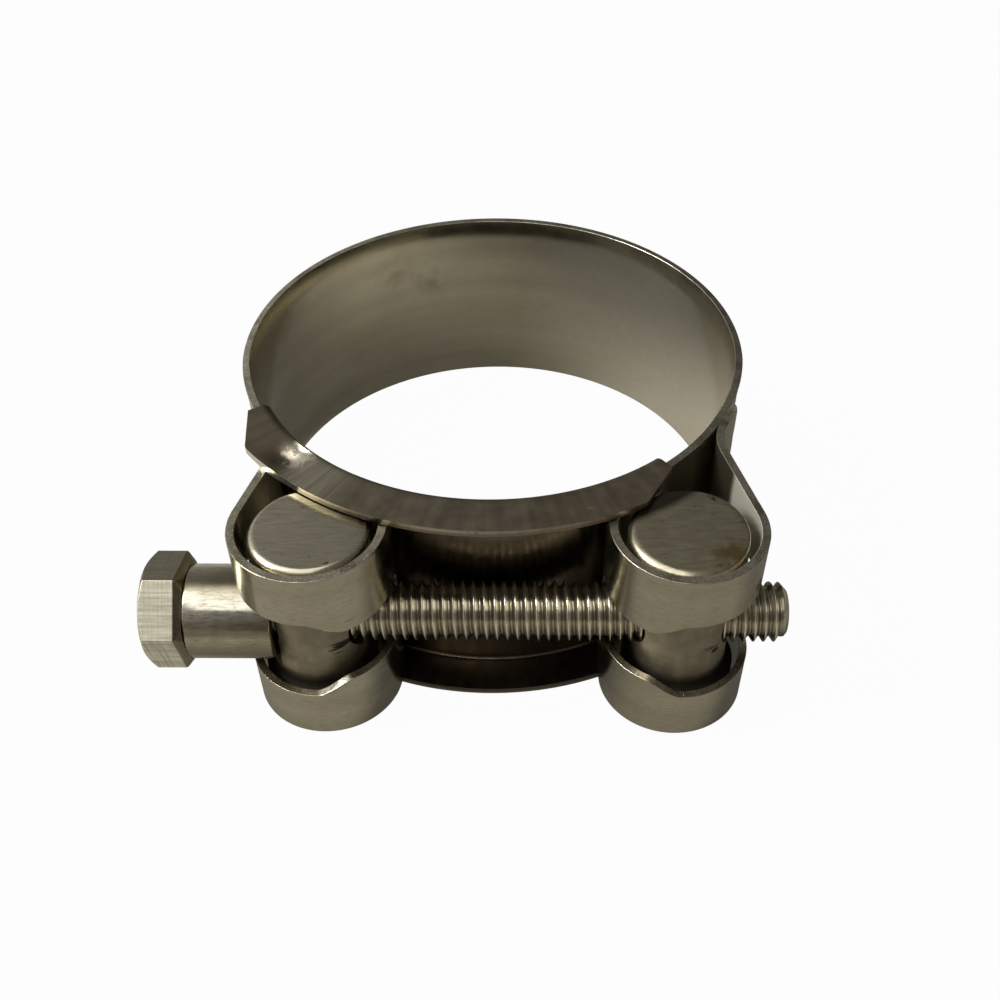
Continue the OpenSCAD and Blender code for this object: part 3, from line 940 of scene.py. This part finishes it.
def lip_reach(angle):
    """Outer radius of the lips at an angle, narrowed along a straight cut at both ends."""
    for side, end in ((-1, LIP_LEFT), (1, LIP_RIGHT)):
        turn = side * (angle - FRONT)
        if turn > end - LIP_TAPER:
            inner = polar(CLAMP_RADIUS + LIP_END_WIDTH, FRONT + side * end)
            outer = polar(LIP_OUTER, FRONT + side * (end - LIP_TAPER))
            across = polar(1.0, angle)
            edge = outer - inner
            normal = Vector((edge.y, -edge.x))
            return inner.dot(normal) / across.dot(normal)
    return LIP_OUTER


def tongue_half(distance):
    """Half the plate's height at a distance past the end of the lips, with round corners."""
    into = distance - (TONGUE_LENGTH - TONGUE_CORNER)
    if into <= 0:
        return TONGUE_HALF
    drop = TONGUE_CORNER - math.sqrt(max(0.0, TONGUE_CORNER**2 - into**2))
    return TONGUE_HALF - drop


def crimp(angle, radius):
    """How far the pressed left end of a lip is driven towards the strip."""
    turn = FRONT - angle
    along = (turn - DENT_TURN) / DENT_SPREAD
    out = (radius - DENT_RADIUS) / DENT_REACH
    dent = DENT_DEPTH * math.exp(-(along**2) - out**2)
    past = min(max((turn - FALL_TURN) / FALL_SPREAD, 0.0), 1.0)
    beyond = min(max((radius - FALL_RADIUS) / FALL_REACH, 0.0), 1.0)
    return dent + FALL_DEPTH * past * beyond


def bridge_angles():
    spread = math.degrees(1.0 / PLATE_MIDDLE)
    left_end = FRONT - LIP_LEFT
    right_end = FRONT + LIP_RIGHT
    straight = TONGUE_LENGTH - TONGUE_CORNER
    tips = [straight + TONGUE_CORNER * math.sin(math.radians(a)) for a in range(0, 91, 9)]
    left = [left_end - d * spread for d in reversed(tips)]
    right = [right_end + d * spread for d in tips]
    lips = [left_end + (right_end - left_end) * i / LIP_COLUMNS for i in range(LIP_COLUMNS + 1)]
    return left + lips + right, len(left), len(left) + LIP_COLUMNS


def build_bridge(shape):
    angles, first_lip, last_lip = bridge_angles()
    outer_rows = LIP_ROWS + FOLD_ROWS + SHOULDER_ROWS
    rows = 2 * outer_rows + PLATE_ROWS + 1
    spread = math.degrees(1.0 / PLATE_MIDDLE)

    def place(column, row):
        angle = angles[column]
        side = -1.0 if row < rows / 2 else 1.0
        step = min(row, rows - 1 - row)
        past = max(FRONT - LIP_LEFT - angle, angle - FRONT - LIP_RIGHT, 0.0) / spread
        radius = PLATE_MIDDLE
        if step <= LIP_ROWS:
            reach = lip_reach(min(max(angle, FRONT - LIP_LEFT), FRONT + LIP_RIGHT))
            radius = reach + (FOLD_CENTRE_R - reach) * step / LIP_ROWS
            height = LIP_MIDDLE_Z
        elif step <= LIP_ROWS + FOLD_ROWS:
            turn = math.radians(90.0 * (step - LIP_ROWS) / FOLD_ROWS)
            radius = FOLD_CENTRE_R - FOLD_MIDDLE * math.sin(turn)
            height = FOLD_CENTRE_Z + FOLD_MIDDLE * math.cos(turn)
        elif step <= outer_rows:
            share = (step - LIP_ROWS - FOLD_ROWS) / SHOULDER_ROWS
            height = FOLD_CENTRE_Z + (tongue_half(past) - FOLD_CENTRE_Z) * share
        else:
            share = 1.0 - (step - outer_rows) / (PLATE_ROWS / 2)
            height = tongue_half(past) * share
        if radius > PLATE_MIDDLE + 0.4:
            height -= crimp(angle, radius)
        flat = polar(radius, angle)
        return Vector((flat.x, flat.y, side * height))

    faces = fit_grid(shape, len(angles), rows, place)
    cut = [
        face
        for (column, row), face in faces.items()
        if not first_lip <= column < last_lip and not outer_rows <= row < rows - 1 - outer_rows
    ]
    bmesh.ops.delete(shape, geom=cut, context="FACES")
    bmesh.ops.recalc_face_normals(shape, faces=shape.faces)


# Sleeve and bolt, turned about the bolt's axis.

AXIS = Vector((0.0, BOLT_Y, 0.0))
ALONG = Vector((1.0, 0.0, 0.0))
SLEEVE_EDGE = 0.2
SLEEVE_SAG = 0.2
TURN_STEPS = 128


def chain(shape, points, closed=False):
    verts = [shape.verts.new(p) for p in points]
    edges = [shape.edges.new(pair) for pair in zip(verts, verts[1:])]
    if closed:
        edges.append(shape.edges.new((verts[-1], verts[0])))
    return verts + edges


def spin_full(shape, geometry, steps):
    bmesh.ops.spin(
        shape, geom=geometry, cent=AXIS, axis=ALONG, angle=2 * math.pi, steps=steps, use_merge=True
    )
    bmesh.ops.remove_doubles(shape, verts=shape.verts, dist=0.0005)
    bmesh.ops.recalc_face_normals(shape, faces=shape.faces)


def sleeve_builder(start, end):
    def build(shape):
        turns = (0.0, 0.5, 1.05, math.pi / 2)
        edge = [(SLEEVE_EDGE * (1 - math.cos(a)), SLEEVE_EDGE * (1 - math.sin(a))) for a in turns]
        profile = [(start, SLEEVE_BORE)]
        profile += [(start + x, SLEEVE_RADIUS - r) for x, r in edge]
        profile += [(end - x, SLEEVE_RADIUS - r) for x, r in reversed(edge)]
        profile += [(end, SLEEVE_BORE)]
        points = [Vector((x, BOLT_Y - r, 0.0)) for x, r in profile]
        spin_full(shape, chain(shape, points, closed=True), TURN_STEPS)
        bmesh.ops.translate(shape, verts=shape.verts, vec=(0.0, -SLEEVE_SAG, 0.0))

    return build


THREAD_STEPS = 60
TIP_SLOPE = 1.1
THREAD_SHAPE = (
    (0.0, 0.0),
    (0.07, 0.02),
    (0.12, 0.1),
    (0.41, 0.9),
    (0.45, 0.98),
    (0.5, 1.0),
    (0.55, 0.98),
    (0.59, 0.9),
    (0.88, 0.1),
    (0.93, 0.02),
)


def build_thread(shape, start, tip):
    """Right-hand thread: the profile is wound one pitch per turn, then trimmed square at both ends."""
    turns = math.ceil((tip - start) / THREAD_PITCH) + 2
    points = []
    for turn in range(turns):
        for along, share in THREAD_SHAPE:
            x = start - 1.5 * THREAD_PITCH + (turn + along) * THREAD_PITCH
            points.append(Vector((x, BOLT_Y - THREAD_ROOT - (THREAD_CREST - THREAD_ROOT) * share, 0.0)))
    bmesh.ops.spin(
        shape,
        geom=chain(shape, points),
        cent=AXIS,
        axis=ALONG,
        dvec=ALONG * (THREAD_PITCH / THREAD_STEPS),
        angle=2 * math.pi,
        steps=THREAD_STEPS,
        use_merge=False,
    )
    bmesh.ops.remove_doubles(shape, verts=shape.verts, dist=0.001)
    for place, outwards in ((start, -1.0), (tip, 1.0)):
        everything = shape.verts[:] + shape.edges[:] + shape.faces[:]
        bmesh.ops.bisect_plane(
            shape, geom=everything, plane_co=(place, 0, 0), plane_no=(outwards, 0, 0), clear_outer=True
        )
        rim = [edge for edge in shape.edges if edge.is_boundary and abs(edge.verts[0].co.x - place) < 0.01]
        rim = [edge for edge in rim if abs(edge.verts[1].co.x - place) < 0.01]
        bmesh.ops.edgeloop_fill(shape, edges=rim)
    for vert in shape.verts:
        from_axis = vert.co - AXIS
        from_axis.x = 0.0
        limit = BOLT_DIAMETER / 2 - TIP_CHAMFER * TIP_SLOPE + max(0.0, tip - vert.co.x) * TIP_SLOPE
        if from_axis.length > limit:
            vert.co -= from_axis * (1.0 - limit / from_axis.length)
    bmesh.ops.recalc_face_normals(shape, faces=shape.faces)


HEX_CUTS = 60
HEX_CONE = 30.0
HEX_SLOPE_RUN = 0.65
HEX_SLOPE_RISE = 0.5


def trim(shape, point, normal):
    everything = shape.verts[:] + shape.edges[:] + shape.faces[:]
    bmesh.ops.bisect_plane(
        shape, geom=everything, dist=0.0001, plane_co=point, plane_no=normal, clear_outer=True
    )
    rim = [edge for edge in shape.edges if edge.is_boundary]
    if rim:
        bmesh.ops.edgeloop_fill(shape, edges=rim)


def build_hex(shape, start, end):
    """Six-sided head, its corners turned off to a cone at both faces, with slopes towards the sleeve."""
    corner = HEX_FLATS / math.sqrt(3)
    middle = Vector(((start + end) / 2, BOLT_Y, 0.0))
    turn = Matrix.Translation(middle) @ Matrix.Rotation(math.radians(90), 4, "Y")
    turn = turn @ Matrix.Rotation(math.radians(HEX_TURN + 30), 4, "Z")
    bmesh.ops.create_cone(
        shape, cap_ends=True, segments=6, radius1=corner, radius2=corner, depth=end - start, matrix=turn
    )
    slope = math.radians(HEX_CONE)
    for face_x, outwards in ((start, -1.0), (end, 1.0)):
        for cut in range(HEX_CUTS):
            around = 2 * math.pi * cut / HEX_CUTS
            across = Vector((0.0, math.cos(around), math.sin(around)))
            normal = ALONG * outwards * math.cos(slope) + across * math.sin(slope)
            trim(shape, Vector((face_x, BOLT_Y, 0.0)) + across * HEX_FACE, normal)
    for side in range(6):
        around = math.radians(HEX_TURN + 30 + 60 * side)
        across = Vector((0.0, math.sin(around), -math.cos(around)))
        normal = ALONG * HEX_SLOPE_RISE + across * HEX_SLOPE_RUN
        trim(shape, Vector((end - HEX_SLOPE_RUN, BOLT_Y, 0.0)) + across * (HEX_FLATS / 2), normal)
    bmesh.ops.recalc_face_normals(shape, faces=shape.faces)


# Trunnions.

RIM_LIGHT = 215.0
RIM_SHARP = 0.3


def trunnion_builder(node, tilt, lean, pivot):
    """A trunnion from its solid, leaning along the bolt, with uneven rims and the top face out of square."""
    low, high = mesh_span(node)
    centre = (low + high) / 2
    top = high.z - centre.z

    def build(shape):
        shape.from_mesh(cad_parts[node].data)
        bmesh.ops.scale(shape, vec=(1 / MM, 1 / MM, 1 / MM), verts=shape.verts)
        bmesh.ops.remove_doubles(shape, verts=shape.verts, dist=0.002)
        for vert in shape.verts:
            out = vert.co - centre
            side = 1.0 if out.z > 0 else -1.0
            flat = Vector((out.x, out.y))
            rise = abs(out.z) - (top - RIM_RADIUS)
            aside = Vector((lean * (out.z - pivot), 0.0, 0.0))
            if rise < 0.001 or flat.length < 0.001:
                vert.co += aside
                continue
            turn = math.atan2(flat.y, flat.x) - math.radians(RIM_LIGHT)
            rim = RIM_SHARP + (RIM_RADIUS - RIM_SHARP) * (0.5 + 0.5 * math.cos(turn))
            run = flat.length - (HEAD_RADIUS - RIM_RADIUS)
            share = rim / RIM_RADIUS
            if run > -0.001:
                flat *= (HEAD_RADIUS - rim + run * share) / flat.length
            height = top - rim + rise * share
            height += flat.y * math.tan(math.radians(tilt)) * min(1.0, rise / RIM_RADIUS)
            vert.co = centre + Vector((flat.x, flat.y, side * height)) + aside

    return build


def mesh_span(node):
    low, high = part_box(node)
    return low / MM, high / MM


# Pieces.

STRIP_EDGE = 0.12
PLATE_EDGE = 0.13
HEX_EDGE = 0.14
HEX_EDGE_ANGLE = 20.0
SLEEVE_CREASE = 35.0
THREAD_CREASE = 40.0
TRUNNION_CREASE = 32.0
THREAD_OVERLAP = 0.2


def smooth_piece(piece, crease):
    piece.data.shade_smooth()
    piece.data.set_sharp_from_angle(angle=math.radians(crease))


add_camera()

band_strip = new_piece(
    "band_strip", build_band, (strip_steel, loop_steel, strip_edge), "clamp_body", "band"
)
add_wall(band_strip, STRIP_THICKNESS, STRIP_EDGE, back=1)

bridge_clip = new_piece(
    "bridge_clip", build_bridge, (plate_steel, plate_edge), "clamp_body", "bridge"
)
add_wall(bridge_clip, PLATE_THICKNESS, PLATE_EDGE)

sleeve_low, sleeve_high = mesh_span("spacer_sleeve")
sleeve_tube = new_piece(
    "sleeve_tube",
    sleeve_builder(sleeve_low.x, sleeve_high.x),
    (sleeve_steel,),
    "spacer_sleeve",
    "spacer_sleeve",
)
smooth_piece(sleeve_tube, SLEEVE_CREASE)

bolt_low, bolt_high = mesh_span("bolt")
head_end = bolt_low.x + HEX_HEIGHT
bolt_thread = new_piece(
    "bolt_thread",
    lambda shape: build_thread(shape, head_end - THREAD_OVERLAP, bolt_high.x),
    (thread_steel,),
    "bolt",
    "bolt",
)
smooth_piece(bolt_thread, THREAD_CREASE)

bolt_head = new_piece(
    "bolt_head", lambda shape: build_hex(shape, bolt_low.x, head_end), (hex_steel,), "bolt"
)
add_soft_edges(bolt_head, HEX_EDGE, HEX_EDGE_ANGLE)

# Tilt in degrees; lean as a slope along the bolt, about a height in millimetres.
for name, node, body, finish, tilt, lean, pivot in (
    ("left_trunnion", "plain_trunnion", "plain_trunnion", left_trunnion_steel, 0.0, 0.033, -3.0),
    ("right_trunnion", "nut_trunnion", "clamp_body", right_trunnion_steel, 1.2, -0.025, 11.0),
):
    build_barrel = trunnion_builder(node, tilt, lean, pivot)
    smooth_piece(new_piece(name, build_barrel, (finish,), body, node), TRUNNION_CREASE)


# Stage: pale floor, two soft lights and a quiet room.

FLOOR_SIZE = 3.0
WHITE = colour(1, 1, 1)
PAPER = colour(0.34, 0.325, 0.295)
PAPER_SEEN = 0.975
PAPER_REFLECTED = 0.06
LIGHT_COLOUR = (1.0, 0.985, 0.95)
ROOM_RIGHT = colour(0.06, 0.057, 0.054)
ROOM_LEFT = colour(0.65, 0.64, 0.6)
ROOM_FRONT = colour(0.1, 0.085, 0.07)
ROOM_ABOVE = colour(0.17, 0.165, 0.15)


def add_floor():
    shape = bmesh.new()
    bmesh.ops.create_grid(shape, x_segments=1, y_segments=1, size=FLOOR_SIZE)
    bmesh.ops.translate(shape, verts=shape.verts, vec=(0.0, 0.0, FLOOR_Z * MM))
    mesh = bpy.data.meshes.new("floor")
    shape.to_mesh(mesh)
    shape.free()
    floor = bpy.data.objects.new("floor", mesh)
    bpy.context.scene.collection.objects.link(floor)
    material = bpy.data.materials.new("pale_paper")
    material.use_nodes = True
    tree = material.node_tree
    tree.nodes.remove(tree.nodes["Principled BSDF"])
    paper = add_node(tree, "ShaderNodeBsdfDiffuse", {"Color": PAPER}).outputs[0]
    white = add_node(tree, "ShaderNodeEmission", {"Color": WHITE, "Strength": 1.0}).outputs[0]
    rays = add_node(tree, "ShaderNodeLightPath").outputs
    seen = times(rays["Is Camera Ray"], PAPER_SEEN)
    shown = times(rays["Is Glossy Ray"], PAPER_REFLECTED)
    through = times(rays["Is Transmission Ray"], PAPER_REFLECTED)
    share = maths("ADD", plus(seen, shown), through, clamp=True)
    mixed = add_node(tree, "ShaderNodeMixShader", {0: share, 1: paper, 2: white})
    set_input(tree.nodes["Material Output"].inputs["Surface"], mixed.outputs[0])
    mesh.materials.append(material)


def add_softbox(name, place, size, target, radiance):
    data = bpy.data.lights.new(name, "AREA")
    data.shape = "RECTANGLE"
    data.size, data.size_y = size
    data.energy = radiance * math.pi * size[0] * size[1]
    data.color = LIGHT_COLOUR
    lamp = bpy.data.objects.new(name, data)
    bpy.context.scene.collection.objects.link(lamp)
    lamp.location = place
    lamp.rotation_euler = (Vector(place) - Vector(target)).to_track_quat("Z", "Y").to_euler()


def add_room():
    """White to the camera; to the steel a dim room, dark in front and to the right, lighter to the left."""
    world = bpy.data.worlds.new("quiet_room")
    bpy.context.scene.world = world
    world.use_nodes = True
    tree = world.node_tree
    tree.nodes.clear()
    x, y, z = split(add_node(tree, "ShaderNodeTexCoord").outputs["Generated"])
    tone = blend_colour(remap(x, 0.1, -0.9), ROOM_RIGHT, ROOM_LEFT)
    tone = blend_colour(times(remap(y, 0.2, -0.8), 0.75), tone, ROOM_FRONT)
    tone = blend_colour(times(remap(z, 0.35, 0.8), 0.7), tone, ROOM_ABOVE)
    dim = add_node(tree, "ShaderNodeBackground", {"Color": tone, "Strength": 1.0}).outputs[0]
    white = add_node(tree, "ShaderNodeBackground", {"Color": WHITE, "Strength": 1.0}).outputs[0]
    rays = add_node(tree, "ShaderNodeLightPath").outputs
    mixed = add_node(tree, "ShaderNodeMixShader", {0: rays["Is Camera Ray"], 1: dim, 2: white})
    add_node(tree, "ShaderNodeOutputWorld", {"Surface": mixed.outputs[0]})


add_floor()
add_room()
add_softbox(
    "overhead_softbox",
    place=(-0.14, -0.14, 0.42),
    size=(0.32, 0.5),
    target=(-0.14, -0.14, 0.0),
    radiance=1.4,
)
add_softbox(
    "left_softbox",
    place=(-0.5, -0.04, 0.41),
    size=(0.26, 0.26),
    target=(0.0, 0.0, 0.0),
    radiance=19.0,
)
bpy.context.scene.view_settings.view_transform = "Standard"
